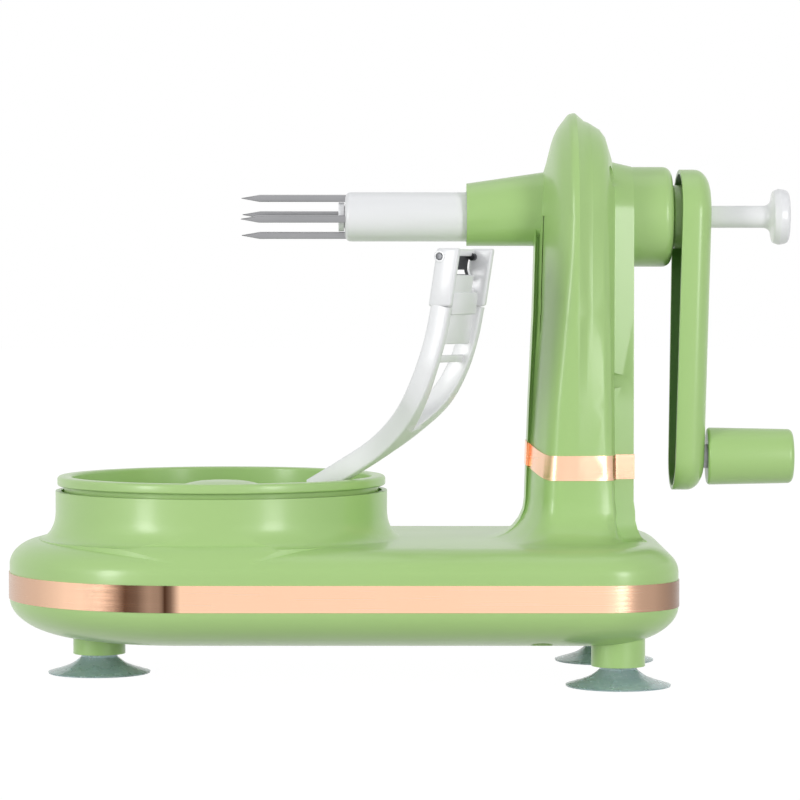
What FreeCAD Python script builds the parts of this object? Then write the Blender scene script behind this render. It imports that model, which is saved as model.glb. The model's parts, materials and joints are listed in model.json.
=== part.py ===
import FreeCAD, Part
import math
import os
import re

import Sketcher

from FreeCAD import Placement, Rotation, Vector

# Hand-cranked apple peeler and corer, in millimetres.
# Origin: on the table, midway between the turntable's axis and the column's shaft.
# +X points at the crank, +Y away from the peeling arm's side, +Z up.

SIZES = {
    # axes
    "turntable_x": -60.0,
    "shaft_x": 60.0,
    "spindle_z": 152.1,
    "first_gear_x": 30.0,
    "second_gear_x": 0.0,
    # clearances and walls
    "running_gap": 0.05,
    "part_gap": 0.3,
    "wall": 2.4,
    # base
    "base_left": -130.5,
    "base_right": 89.5,
    "base_half_depth": 61.0,
    "base_corner": 26.0,
    "base_floor": 13.0,
    "bowl_inset": 25.0,
    "band_low": 25.8,
    "band_high": 34.4,
    "band_proud": 0.3,
    "shoulder_low": 37.0,
    "shoulder_inset": 12.0,
    "deck_top": 45.5,
    "ring_radius": 55.2,
    "ring_wall": 1.8,
    "ring_top": 61.2,
    "ring_flare": 5.5,
    "ring_flare_height": 9.0,
    # suction cups
    "cup_radius": 17.0,
    "cup_height": 6.5,
    "cup_neck_radius": 5.5,
    "cup_plug_radius": 4.0,
    "cup_boss_radius": 8.7,
    "cup_left_x": -101.0,
    "cup_right_x": 70.0,
    "cup_right_y": 37.0,
    # column
    "neck_top": 65.7,
    "column_band_height": 8.1,
    "band_rise": 3.6,
    "column_parting_x": 62.0,
    "head_radius": 34.4,
    "foot_flare": 13.0,
    "front_boss_x": 21.6,
    "front_boss_radius": 10.4,
    "rear_boss_x": 89.6,
    "rear_boss_radius": 16.6,
    "rear_boss_round": 3.0,
    # spindle and its fork
    "spindle_radius": 6.0,
    "bush_wall": 2.8,
    "front_bush_x": 25.5,
    "front_bush_end": 46.8,
    "rear_bush_x": 74.0,
    "spindle_start_x": 2.0,
    "spindle_socket": 8.2,
    "holder_radius": 8.2,
    "holder_front_x": -18.8,
    "holder_length": 43.0,
    "prong_tip_x": -53.2,
    "prong_circle": 6.2,
    "prong_width": 2.2,
    "prong_twist": 8.0,
    "prong_point": 6.0,
    # crank
    "crank_x": 91.0,
    "crank_depth": 10.6,
    "crank_length": 79.7,
    "crank_top_radius": 15.7,
    "crank_end_radius": 11.2,
    "crank_round": 5.0,
    "hub_radius": 10.5,
    "knob_radius": 9.55,
    "knob_end_radius": 9.0,
    "knob_length": 27.8,
    "knob_gap": 0.9,
    "axle_radius": 4.0,
    # push rod
    "rod_radius": 3.67,
    "rod_clearance": 0.08,
    "rod_travel": 19.0,
    "rod_end_x": 122.5,
    "button_radius": 9.35,
    "button_thick": 5.9,
    # gears
    "gear_module": 1.0,
    "gear_thick": 5.0,
    "gear_low_z": 18.0,
    "gear_mid_z": 24.5,
    "gear_high_z": 31.0,
    "backlash": 0.24,
    "bevel_module": 1.2,
    "bevel_face": 5.0,
    "bevel_backlash": 0.34,
    "bevel_back": 13.5,
    "gear_post_radius": 4.0,
    "gear_pin_top": 41.5,
    "shaft_radius": 3.0,
    "shaft_bearing_z": 122.0,
    "shaft_bearing_half": 6.0,
    "shelf_half": 2.5,
    "pin_radius": 2.0,
    # tray
    "tray_radius": 54.6,
    "tray_top": 66.1,
    "tray_edge": 3.0,
    "tray_neck_radius": 52.2,
    "tray_dish_radius": 50.0,
    "tray_floor": 53.0,
    "tray_wall": 2.0,
    "dome_radius": 26.0,
    "dome_top": 64.5,
    "tray_hub_radius": 9.0,
    # peeling arm, in its own radial plane
    "arm_azimuth": -30.0,
    "arm_hinge_r": 38.0,
    "arm_hinge_z": 60.0,
    "arm_thick": 7.3,
    "arm_half_width": 12.0,
    "arm_foot_half": 2.3,
    "arm_tongue_half": 8.0,
    "hinge_pin_radius": 1.5,
    "arm_head_top": 122.5,
    "holder_top": 141.0,
    "cheek_thick": 2.2,
    "cheek_inner_r": 87.8,
    "cheek_outer_r": 95.7,
    "blade_pivot_r": 90.3,
    "blade_pivot_z": 138.4,
    "blade_pin_radius": 1.2,
    "blade_side_gap": 0.5,
    # fasteners
    "screw_radius": 1.6,
    "screw_head_radius": 3.2,
    "screw_head_thick": 2.0,
    "screw_head_gap": 0.3,
    "base_post_radius": 4.6,
    "base_screw_seat": 19.0,
    "base_screw_length": 19.0,
    "column_post_radius": 3.9,
    "column_screw_tip": 51.5,
    "column_screw_seat": 64.5,
    "tray_screw_radius": 2.0,
    "grub_radius": 1.5,
}

doc = FreeCAD.newDocument("apple_peeler_corer")
sheet = doc.addObject("Spreadsheet::Sheet", "Sizes")
for row, (alias, value) in enumerate(SIZES.items(), start=1):
    sheet.set(f"A{row}", alias)
    sheet.set(f"B{row}", str(value))
    sheet.setAlias(f"B{row}", alias)
doc.recompute()


class Cells:
    """Reads a driving dimension from the sheet by its alias."""

    def __getattr__(self, alias):
        return float(sheet.get(alias))


size = Cells()
nodes = []
X_AXIS, Y_AXIS, Z_AXIS = Vector(1, 0, 0), Vector(0, 1, 0), Vector(0, 0, 1)
UPRIGHT = Rotation()
ALONG_X = Rotation(Vector(0, 1, 0), 90)
BACK_ALONG_X = Rotation(Vector(0, 1, 0), -90)
UPSIDE_DOWN = Rotation(Vector(1, 0, 0), 180)


# ---------------------------------------------------------------- building helpers


def bound(text):
    """An expression on the sheet's cells, from the aliases alone."""
    return re.sub(r"[a-z]\w*", lambda word: "Sizes." + word.group(0), str(text))


def worth(text):
    """What an expression on the cells comes to now."""
    return float(sheet.evalExpression(bound(text)))


def place(thing, x, y, z, rotation=UPRIGHT):
    """Ties an object's position to the sheet."""
    thing.Placement = Placement(Vector(worth(x), worth(y), worth(z)), rotation)
    for axis, text in (("x", x), ("y", y), ("z", z)):
        thing.setExpression(f"Placement.Base.{axis}", bound(text))


def draw_section(sketch, corners):
    """A closed outline in a sketch, each corner (across, up) held by expressions on the sheet."""
    spots = [Vector(worth(a), worth(b), 0) for a, b in corners]
    count = len(corners)
    for n in range(count):
        sketch.addGeometry(Part.LineSegment(spots[n], spots[(n + 1) % count]), False)
    for n, (across, up) in enumerate(corners):
        sketch.addConstraint(Sketcher.Constraint("Coincident", (n - 1) % count, 2, n, 1))
        for kind, text, own_axis in (("DistanceX", across, -2), ("DistanceY", up, -1)):
            if text == "0":
                sketch.addConstraint(Sketcher.Constraint("PointOnObject", n, 1, own_axis))
                continue
            held = sketch.addConstraint(Sketcher.Constraint(kind, -1, 1, n, 1, worth(text)))
            sketch.setExpression(f"Constraints[{held}]", bound(text))


def new_sketch(body, role, corners):
    plane = [f for f in body.Origin.OriginFeatures if f.Role == role][0]
    sketch = body.newObject("Sketcher::SketchObject", body.Name + "_section")
    sketch.AttachmentSupport = (plane, [""])
    sketch.MapMode = "FlatFace"
    draw_section(sketch, corners)
    return sketch


def turned(label, corners, at, rotation=UPRIGHT, rounds=()):
    """A turned piece: its half section spun about its own Z, then rounded at the rims named in rounds."""
    body = doc.addObject("PartDesign::Body", label)
    body.Label = label
    spin = body.newObject("PartDesign::Revolution", label + "_turn")
    spin.Profile = new_sketch(body, "XZ_Plane", corners)
    spin.ReferenceAxis = (spin.Profile[0], ["V_Axis"])
    spin.Angle = 360.0
    doc.recompute()
    base = spin
    for radius, height, round_radius in rounds:
        rims = [
            f"Edge{n}"
            for n, edge in enumerate(base.Shape.Edges, start=1)
            if isinstance(edge.Curve, Part.Circle)
            and abs(edge.Curve.Radius - worth(radius)) < 1e-4
            and abs(edge.Curve.Center.z - worth(height)) < 1e-4
        ]
        fillet = body.newObject("PartDesign::Fillet", label + "_round")
        fillet.Base = (base, rims)
        fillet.Radius = worth(round_radius)
        fillet.setExpression("Radius", bound(round_radius))
        doc.recompute()
        base = fillet
    place(body, *at, rotation)
    nodes.append(body)
    return body


def direct(label, shape, at=None):
    """A sub-part whose shape comes straight from Part's own functions."""
    made = doc.addObject("Part::Feature", label)
    made.Label = label
    made.Shape = shape
    if at is not None:
        made.Placement = at * shape.Placement
    nodes.append(made)
    return made


def outline_face(*runs):
    """A face in the XZ plane: runs of (x, z) end to end, straight for two points and smooth for more."""
    edges = []
    for run in runs:
        spots = [Vector(x, 0, z) for x, z in run]
        if len(spots) == 2:
            edges.append(Part.makeLine(*spots))
            continue
        curve = Part.BSplineCurve()
        curve.interpolate(spots)
        edges.append(curve.toShape())
    return Part.Face(Part.Wire(edges))


def quarter(across, up, steps=8):
    """Points of a quarter ellipse from (0, 0) to (across, up), leaving straight up."""
    angles = [math.pi / 2 * n / steps for n in range(steps + 1)]
    return [(across * (1 - math.cos(a)), up * math.sin(a)) for a in angles]


def hollow_quarter(across, up, steps=8):
    """Points of a hollow quarter ellipse from (0, 0) to (across, up), leaving flat."""
    angles = [math.pi / 2 * n / steps for n in range(steps + 1)]
    return [(across * math.sin(a), up * (1 - math.cos(a))) for a in angles]


THROUGH = 60.0


def rod(radius, start, direction, length):
    return Part.makeCylinder(radius, length, start, direction)


def fused(shapes):
    return shapes[0].fuse(list(shapes[1:])).removeSplitter()


# ---------------------------------------------------------------- base shells


def slab(runs):
    """A solid on the base's plan, a half round at the left, whose side follows runs of (inset, height)."""
    deep = size.base_half_depth
    corner = size.base_corner
    left, right = size.base_left + deep, size.base_right - corner
    low, high = runs[0][0][1], runs[-1][-1][1]

    def half_section(radius):
        sides = [[(radius - inset, z) for inset, z in run] for run in runs]
        floor, lid, axis = [(0, low), sides[0][0]], [sides[-1][-1], (0, high)], [(0, high), (0, low)]
        return outline_face(floor, *sides, lid, axis)

    side = half_section(deep)
    side.rotate(Vector(), Z_AXIS, 90)
    side.translate(Vector(left, 0, 0))
    solids = [side.revolve(Vector(left, 0, 0), Z_AXIS, 180)]
    for turn in (0, 180):
        part = half_section(deep)
        part.rotate(Vector(), Z_AXIS, 90 + turn)
        part.translate(Vector(left, 0, 0))
        solids.append(part.extrude(Vector(right - left, 0, 0)))
    for sign, start in ((1, 0), (-1, -90)):
        part = half_section(corner)
        part.rotate(Vector(), Z_AXIS, start)
        centre = Vector(right, sign * (deep - corner), 0)
        part.translate(centre)
        solids.append(part.revolve(centre, Z_AXIS, 90))
    part = half_section(corner)
    part.translate(Vector(right, corner - deep, 0))
    solids.append(part.extrude(Vector(0, 2 * (deep - corner), 0)))
    return fused(solids)


def bowl_edge(wall):
    """The lower shell's side: a flat quarter ellipse from its floor up to the band."""
    across, up = size.bowl_inset - wall, size.band_low - size.base_floor - wall
    curve = [(wall + a, size.band_low - b) for a, b in quarter(across, up)]
    return [curve[::-1]]


def shoulder_edge(wall):
    """The upper shell's side: upright above the band, then rounded over to the deck."""
    across, up = size.shoulder_inset - wall, size.deck_top - size.shoulder_low - wall
    start = size.shoulder_low
    curve = [(wall + a, start + b) for a, b in quarter(across, up)]
    return [[(wall, size.band_high), (wall, start)], curve]


CUPS = {
    "suction_cup_left": ("cup_left_x", "0"),
    "suction_cup_right_front": ("cup_right_x", "-cup_right_y"),
    "suction_cup_right_rear": ("cup_right_x", "cup_right_y"),
}
BASE_SCREWS = [(-118.0, -14.0), (-118.0, 14.0), (45.0, -46.0), (45.0, 46.0)]


def make_lower_shell():
    outer = slab(bowl_edge(0))
    solids = [outer]
    boss_base = size.cup_height
    for x, y in CUPS.values():
        spot = Vector(worth(x), worth(y), boss_base)
        solids.append(rod(size.cup_boss_radius, spot, Z_AXIS, size.band_low - 8 - boss_base))
    shell = fused(solids)
    shell = shell.cut(slab(bowl_edge(size.wall)))
    inside = []
    floor = size.base_floor + 0.5
    for x, y in BASE_SCREWS:
        post = rod(size.base_post_radius, Vector(x, y, floor + 1), Z_AXIS, size.band_low - floor - 1)
        inside.append(post.common(outer))
    for x, top in ((size.first_gear_x, size.gear_low_z), (size.second_gear_x, size.gear_mid_z)):
        inside.append(rod(size.gear_post_radius, Vector(x, 0, floor), Z_AXIS, top - 0.4 - floor))
    inside.append(rod(7, Vector(size.shaft_x, 0, floor), Z_AXIS, size.gear_low_z - 0.8 - floor))
    for x, y in CUPS.values():
        inside.append(rod(size.cup_boss_radius, Vector(worth(x), worth(y), floor), Z_AXIS, 4.0))
    shell = fused([shell] + inside)
    cuts = []
    for x, y in BASE_SCREWS:
        cuts.append(rod(SCREW_SEAT_RADIUS, Vector(x, y, 0), Z_AXIS, size.base_screw_seat))
        cuts.append(rod(size.screw_radius, Vector(x, y, 0), Z_AXIS, THROUGH))
    for x in (size.first_gear_x, size.second_gear_x):
        cuts.append(rod(size.pin_radius, Vector(x, 0, floor + 0.6), Z_AXIS, 20))
    pocket = size.shaft_radius + size.bush_wall / 2
    cuts.append(rod(pocket, Vector(size.shaft_x, 0, floor + 0.6), Z_AXIS, 20))
    for x, y in CUPS.values():
        cuts.append(rod(size.cup_plug_radius, Vector(worth(x), worth(y), 0), Z_AXIS, size.base_floor + 1))
    return shell.cut(cuts)


def ring_around_tray():
    """The upright ring that the tray turns in, flared out where it meets the shoulder."""
    outer, inner = size.ring_radius, size.ring_radius - size.ring_wall
    foot = outer + size.ring_flare
    flare = hollow_quarter(size.ring_flare, size.ring_flare_height)
    curve = [(foot - a, size.deck_top + b) for a, b in flare]
    low = size.deck_top - 5
    face = outline_face(
        [(inner, low), (curve[0][0], low)],
        [(curve[0][0], low), curve[0]],
        curve,
        [curve[-1], (outer, size.ring_top)],
        [(outer, size.ring_top), (inner, size.ring_top)],
        [(inner, size.ring_top), (inner, low)],
    )
    ring = face.revolve(Vector(), Z_AXIS, 360)
    ring.translate(Vector(size.turntable_x, 0, 0))
    side = size.base_half_depth - outer - 0.1
    deck = size.deck_top
    edge = [(0.6, low - 2), (2.2, deck - 2.9), (4.2, deck - 0.3), (side, deck + 0.9)]
    clip = slab([edge, [edge[-1], (side, size.ring_top + 2)]])
    return Part.Solid(ring.Solids[0]).common(clip)


# ---------------------------------------------------------------- column


def column_half(height, inset=0.0):
    """Half the column's plan at a height: (left curve points, back corner points), from the left middle."""
    head, low = size.head_radius, 27.0
    share = max(0.0, min(1.0, (height - 50.0) / (size.spindle_z - 50.0)))
    bow = math.sin(share * math.pi / 2) ** 2
    left_top = [(44.2, 0), (45.0, 8), (47.7, 16.4), (49.7, 24), (52.0, 29.6), (54.3, 32.7), (57.5, head)]
    left_low = [(40.7, 0), (41.5, 8), (43.3, 16), (45.4, 22), (46.6, 24.8), (48.4, 26.6), (57.5, low + 0.3)]
    back_top = [(60.3, 31.9), (size.column_parting_x, 31.2), (65.6, 29.0), (67.4, 26.6), (69.3, 20.5)]
    back_top += [(69.9, 18.2), (76.3, 16.7)]
    back_low = [(60.3, low + 0.1), (size.column_parting_x, low), (66.5, low), (68.8, low - 0.9)]
    back_low += [(69.8, low - 3), (69.8, 18.0), (76.3, 17.0)]

    def blend(a, b, mix):
        return [(p[0] + (q[0] - p[0]) * mix, p[1] + (q[1] - p[1]) * mix) for p, q in zip(a, b)]

    left = blend(left_low, left_top, share * 0.35 + bow * 0.65)
    back = blend(back_low, back_top, share)
    whole = left + back
    if inset:
        whole = shifted(whole, inset)
    return whole[: len(left)], whole[len(left) :]


def shifted(points, inset):
    """Half an outline moved inward by inset, or outward if negative, less so on the crank's side."""
    mirrored = [(points[1][0], -points[1][1])] + points + [(points[-1][0], -points[-1][1])]
    moved = []
    for before, here, after in zip(mirrored, mirrored[1:], mirrored[2:]):
        first = unit(here[0] - before[0], here[1] - before[1])
        second = unit(after[0] - here[0], after[1] - here[1])
        normal = unit(-(first[1] + second[1]), first[0] + second[0])
        turn = first[0] * second[0] + first[1] * second[1]
        reach = inset / max(0.6, math.sqrt((1 + turn) / 2))
        if inset < -1:
            reach *= 1 - 0.9 * max(0.0, normal[0])
        moved.append((here[0] - normal[0] * reach, here[1] - normal[1] * reach))
    moved[0] = (moved[0][0], 0.0)
    return moved


def unit(x, y):
    length = math.hypot(x, y)
    return (x / length, y / length)


def column_wire(height, inset=0.0):
    left, back = column_half(height, inset)
    edges = []
    upper = Part.BSplineCurve()
    upper.interpolate(
        Points=[Vector(x, y, height) for x, y in left],
        InitialTangent=Vector(0, 1, 0),
        FinalTangent=Vector(1, 0, 0),
    )
    lower = Part.BSplineCurve()
    lower.interpolate(
        Points=[Vector(x, -y, height) for x, y in reversed(left)],
        InitialTangent=Vector(-1, 0, 0),
        FinalTangent=Vector(0, 1, 0),
    )
    edges += [lower.toShape(), upper.toShape()]
    corners = [left[-1]] + back
    spots = [Vector(x, y, height) for x, y in corners]
    spots += [Vector(x, -y, height) for x, y in reversed(corners)]
    edges += [Part.makeLine(a, b) for a, b in zip(spots, spots[1:])]
    return Part.Wire(edges)


def column_solid(low, inset=0.0):
    """The column from a height up to and round the spindle's axis, as one solid."""
    heights = [low, 90.0, 120.0, size.spindle_z]
    body = Part.makeLoft([column_wire(z, inset) for z in heights], True, True)
    left, back = column_half(size.spindle_z, inset)
    curve = Part.BSplineCurve()
    curve.interpolate(
        Points=[Vector(x, y, size.spindle_z) for x, y in left],
        InitialTangent=Vector(0, 1, 0),
        FinalTangent=Vector(1, 0, 0),
    )
    corners = [left[-1]] + back
    spots = [Vector(x, y, size.spindle_z) for x, y in corners]
    spots += [Vector(corners[-1][0], 0, size.spindle_z), Vector(left[0][0], 0, size.spindle_z)]
    edges = [curve.toShape()] + [Part.makeLine(a, b) for a, b in zip(spots, spots[1:])]
    half = Part.Face(Part.Wire(edges))
    cap = half.revolve(Vector(0, 0, size.spindle_z), X_AXIS, 180)
    return fused([body, cap])


def column_foot():
    """The column below its joint line, its foot spreading into the deck."""
    wires = []
    reach = size.foot_flare
    steps = 6
    for n in range(steps + 1):
        angle = math.pi / 2 * n / steps
        out = reach * (1 - math.sin(angle))
        height = size.deck_top + reach * (1 - math.cos(angle))
        wires.append(column_wire(height, -out if out > 0.01 else 0.0))
    below = column_wire(size.deck_top, -reach)
    below.translate(Vector(0, 0, -1.0))
    wires.append(column_wire(size.neck_top + size.band_rise + 8))
    return Part.makeLoft([below] + wires, True, True)


def above_joint(offset):
    """Everything above the column's joint line, which is level and then climbs the rounded front."""
    level = size.neck_top + offset
    near, end, start, far, top = 10.0, 36.0, 48.5, 95.0, 220.0
    climb = size.band_rise * (start - end) / 8.0
    bend = [(start, level), (start - 1.6, level + climb * 0.06), (start - 3.4, level + climb * 0.22)]
    bend.append((end, level + climb))
    face = outline_face(
        [(far, level), (start, level)],
        bend,
        [(end, level + climb), (near, level + climb)],
        [(near, level + climb), (near, top)],
        [(near, top), (far, top)],
        [(far, top), (far, level)],
    )
    face.translate(Vector(0, -size.base_half_depth, 0))
    return face.extrude(Vector(0, 2 * size.base_half_depth, 0))


SCREW_SEAT_RADIUS = size.screw_head_radius + size.screw_head_gap
BOSS_BORE = size.spindle_radius + size.bush_wall
SHAFT_BORE = size.shaft_radius + size.bush_wall
COLUMN_SCREWS = [(-20.5, 98.0), (20.5, 98.0), (-17.0, 165.0), (17.0, 165.0)]


def front_boss():
    """The snout that carries the fork: round at its end, higher where it leaves the column."""
    z, start = size.spindle_z + 0.7, size.front_boss_x
    end_x, top = 49.0, 167.2
    bottom = z - size.front_boss_radius
    ends = []
    for x, radius, centre in (
        (start, size.front_boss_radius, z),
        (end_x, (top - bottom) / 2, (top + bottom) / 2),
    ):
        ends.append(Part.Wire(Part.makeCircle(radius, Vector(x, 0, centre), X_AXIS)))
    return Part.makeLoft(ends, True, True)


def make_column_shells():
    outer = column_solid(60.0)
    inner = column_solid(58.0, size.wall)
    axis = Vector(0, 0, size.spindle_z)
    start = Vector(76.0, 0, size.spindle_z)
    boss = rod(size.rear_boss_radius, start, X_AXIS, size.rear_boss_x - start.x)
    rim = [e for e in boss.Edges if abs(e.CenterOfMass.x - size.rear_boss_x) < 1e-4]
    boss = boss.makeFillet(size.rear_boss_round, rim)
    whole = fused([outer, front_boss(), boss])
    whole = whole.cut(inner)
    extras = []
    shelf_z = size.shaft_bearing_z
    thick = 2 * size.shelf_half
    shelf = Part.makeBox(60, 80, thick, Vector(30, -40, shelf_z - thick / 2))
    extras.append(shelf.common(inner))
    half = size.shaft_bearing_half
    sleeve = rod(SHAFT_BORE + 2.2, Vector(size.shaft_x, 0, shelf_z - half), Z_AXIS, 2 * half)
    extras.append(sleeve)
    posts = []
    for y, z in COLUMN_SCREWS:
        posts.append(rod(size.column_post_radius, Vector(44, y, z), X_AXIS, 30).common(outer))
    seat_x = size.front_bush_end - 1.3
    front_seat = rod(BOSS_BORE + 2.0, axis + Vector(seat_x, 0, 0), X_AXIS, size.front_bush_end - seat_x)
    whole = fused([whole] + extras + posts + [front_seat])
    mouth = size.front_boss_x - 10
    cuts = [
        rod(BOSS_BORE, axis + Vector(size.front_bush_x, 0, 0), X_AXIS, 40),
        rod(size.holder_radius + size.part_gap, axis + Vector(mouth, 0, 0), X_AXIS, size.front_bush_x - mouth),
        rod(BOSS_BORE, axis + Vector(70, 0, 0), X_AXIS, 30),
        rod(SHAFT_BORE, Vector(size.shaft_x, 0, shelf_z - 10), Z_AXIS, 20),
    ]
    for y, z in COLUMN_SCREWS:
        cuts.append(rod(size.screw_radius, Vector(size.column_screw_tip - 0.5, y, z), X_AXIS, THROUGH))
        cuts.append(rod(SCREW_SEAT_RADIUS, Vector(size.column_screw_seat, y, z), X_AXIS, THROUGH))
    whole = whole.cut(cuts)
    upper = whole.common(above_joint(size.column_band_height))
    parting = size.column_parting_x
    front = upper.common(Part.makeBox(parting, 140, 250, Vector(0, -70, 0)))
    rear = upper.common(Part.makeBox(60, 140, 250, Vector(parting, -70, 0)))
    return front, rear


def make_column_band():
    outer = column_solid(60.0, -size.band_proud)
    inner = column_solid(58.0, size.wall)
    band = outer.cut(inner).common(above_joint(0.0))
    return band.cut(above_joint(size.column_band_height))


def make_upper_shell():
    outer = slab(shoulder_edge(0))
    shell = fused([outer, ring_around_tray(), column_foot()])
    shell = shell.cut(above_joint(0.0))
    cavity = slab(shoulder_edge(size.wall))
    neck_hollow = Part.makeLoft([column_wire(z, size.wall) for z in (38.0, 60.0, 76.0)], True, True)
    shell = shell.cut([cavity, neck_hollow])
    deck_under = size.deck_top - size.wall
    inside = []
    for x, y in BASE_SCREWS:
        height = deck_under + 0.6 - size.band_low
        inside.append(rod(size.base_post_radius, Vector(x, y, size.band_low), Z_AXIS, height))
    for x, top in ((size.first_gear_x, size.gear_mid_z), (size.second_gear_x, size.gear_high_z)):
        low = top + size.gear_thick + 0.5
        inside.append(rod(size.gear_post_radius, Vector(x, 0, low), Z_AXIS, deck_under + 0.6 - low))
    hub = size.tray_hub_radius
    inside.append(rod(hub + 6.5, Vector(size.turntable_x, 0, 39.5), Z_AXIS, size.deck_top - 39.5))
    reach = slab([[(-2, size.band_low - 1), (-2, size.shoulder_low)], [(-2, size.shoulder_low), (8, 45)]])
    posts = [piece.common(reach) if piece.BoundBox.ZMax < size.deck_top - 1 else piece for piece in inside]
    shell = fused([shell] + posts)
    cuts = [rod(hub + 3, Vector(size.turntable_x, 0, 30), Z_AXIS, 20)]
    for x, y in BASE_SCREWS:
        cuts.append(rod(size.screw_radius, Vector(x, y, size.band_low - 1), Z_AXIS, 15))
    for x in (size.first_gear_x, size.second_gear_x):
        cuts.append(rod(size.pin_radius, Vector(x, 0, 20), Z_AXIS, size.gear_pin_top - 20))
    return shell.cut(cuts)


# ---------------------------------------------------------------- gears


def spur_gear(teeth, module, thick, backlash):
    """An involute spur gear standing on the XY plane, with a tooth on +X."""
    pressure = math.radians(20)
    pitch = teeth * module / 2
    base = pitch * math.cos(pressure)
    tip, root = pitch + 0.92 * module, pitch - 1.25 * module
    half_pitch = math.pi / (2 * teeth) - backlash / 2 / pitch
    spread = math.tan(pressure) - pressure

    def flank(radius):
        """Half the tooth's angle at a radius."""
        angle = math.acos(min(1.0, base / radius))
        return half_pitch + spread - (math.tan(angle) - angle)

    def at(radius, angle):
        return Vector(radius * math.cos(angle), radius * math.sin(angle), 0)

    start = max(base, root)
    undercut = start - root > 1e-3
    root = root if undercut else start
    middle = (start + tip) / 2
    edges = []
    for n in range(teeth):
        centre = 2 * math.pi * n / teeth
        following = 2 * math.pi * (n + 1) / teeth
        low, mid, high = flank(start), flank(middle), flank(tip)
        if undercut:
            edges.append(Part.makeLine(at(root, centre - low), at(start, centre - low)))
        rise = [at(start, centre - low), at(middle, centre - mid), at(tip, centre - high)]
        edges.append(Part.Arc(*rise).toShape())
        edges.append(Part.makeLine(at(tip, centre - high), at(tip, centre + high)))
        fall = [at(tip, centre + high), at(middle, centre + mid), at(start, centre + low)]
        edges.append(Part.Arc(*fall).toShape())
        if undercut:
            edges.append(Part.makeLine(at(start, centre + low), at(root, centre + low)))
        edges.append(Part.makeLine(at(root, centre + low), at(root, following - low)))
    return Part.Face(Part.Wire(edges)).extrude(Vector(0, 0, thick))


def bevel_gear(teeth, bore):
    """A mitre gear with its cone's tip at the origin and its large end towards +Z, a tooth on +X."""
    module, back = size.bevel_module, size.bevel_back
    pitch = teeth * module / 2
    outer = pitch * math.sqrt(2)
    inner = outer - size.bevel_face
    lean = math.sqrt(0.5)
    high, low = 0.9 * module, 1.35 * module
    half = math.pi * module / 4 - size.bevel_backlash / 2
    slope = math.tan(math.radians(20))
    section = [(-(half - high * slope), high), (half - high * slope, high)]
    section += [(half + (low + 0.35) * slope, -low - 0.35), (-(half + (low + 0.35) * slope), -low - 0.35)]

    def ring_of(distance):
        scale = distance / outer
        along = Vector(lean, 0, lean) * distance
        spots = [along + Vector(lean * w * scale, t * scale, -lean * w * scale) for t, w in section]
        return Part.makePolygon(spots + [spots[0]])

    tooth = Part.makeLoft([ring_of(inner), ring_of(outer)], True, True)

    def root_at(distance):
        scale = distance / outer
        return (lean * (distance - low * scale), lean * (distance + low * scale))

    inner_root, outer_root = root_at(inner), root_at(outer)
    profile = [(bore, inner_root[1]), inner_root, outer_root, (outer_root[0], back), (bore, back)]
    runs = [[a, b] for a, b in zip(profile, profile[1:] + profile[:1])]
    blank = outline_face(*runs).revolve(Vector(), Z_AXIS, 360)
    teeth_shapes = []
    for n in range(teeth):
        copy = tooth.copy()
        copy.rotate(Vector(), Z_AXIS, 360.0 * n / teeth)
        teeth_shapes.append(copy)
    hole = rod(bore, Vector(0, 0, -1), Z_AXIS, 40)
    return Part.Solid(blank.Solids[0]).fuse(teeth_shapes).removeSplitter().cut(hole)


SHAFT_TEETH, FIRST_LARGE, FIRST_SMALL, SECOND_LARGE, SECOND_SMALL, TABLE_TEETH = 12, 48, 20, 40, 22, 98
BEVEL_TEETH = 20


def compound_gear(large, small, low_z, high_z):
    """Two gears in one moulding on a loose bore, the large one turned half a tooth."""
    module, thick = size.gear_module, size.gear_thick
    wheel = spur_gear(large, module, thick, size.backlash)
    wheel.rotate(Vector(), Z_AXIS, 180.0 / large)
    pinion = spur_gear(small, module, thick, size.backlash)
    pinion.translate(Vector(0, 0, high_z - low_z))
    web = rod(small * module / 2 - 1.4, Vector(0, 0, thick), Z_AXIS, high_z - low_z - thick)
    bore = rod(size.pin_radius + size.running_gap, Vector(0, 0, -1), Z_AXIS, 40)
    return fused([wheel, web, pinion]).cut(bore)


# ---------------------------------------------------------------- fork, crank, tray, arm


def make_fork():
    """Four flat prongs on a ring that is moulded into the holder."""
    z = size.spindle_z
    width, circle = size.prong_width, size.prong_circle
    ring_x = size.holder_front_x + 6
    ring = rod(circle + width / 2, Vector(ring_x, 0, z), X_AXIS, 1.5)
    ring = ring.cut(rod(size.rod_radius + size.rod_clearance + 0.3, Vector(ring_x - 1, 0, z), X_AXIS, 4))
    prongs = []
    for n in range(4):
        low, high = circle - width / 2, circle + width / 2
        side = outline_face(
            [(ring_x + 1, low), (ring_x + 1, high)],
            [(ring_x + 1, high), (size.prong_tip_x + size.prong_point, high)],
            [(size.prong_tip_x + size.prong_point, high), (size.prong_tip_x, circle)],
            [(size.prong_tip_x, circle), (size.prong_tip_x + size.prong_point, low)],
            [(size.prong_tip_x + size.prong_point, low), (ring_x + 1, low)],
        )
        side.translate(Vector(0, -width / 2, 0))
        prong = side.extrude(Vector(0, width, 0))
        prong.rotate(Vector(), X_AXIS, size.prong_twist + 90 * n)
        prong.translate(Vector(0, 0, z))
        prongs.append(prong)
    return fused([ring] + prongs)


def make_holder(fork):
    """The white tube on the spindle that the prongs stand in."""
    z, front = size.spindle_z, size.holder_front_x
    tube = rod(size.holder_radius, Vector(front, 0, z), X_AXIS, size.holder_length)
    rim = [e for e in tube.Edges if abs(e.CenterOfMass.x - front) < 1e-4]
    tube = tube.makeFillet(1.7, rim)
    cuts = [
        rod(size.rod_radius + size.rod_clearance, Vector(front - 1, 0, z), X_AXIS, THROUGH),
        rod(size.spindle_radius, Vector(size.spindle_start_x, 0, z), X_AXIS, THROUGH),
        fork,
    ]
    return tube.cut(cuts)


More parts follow.
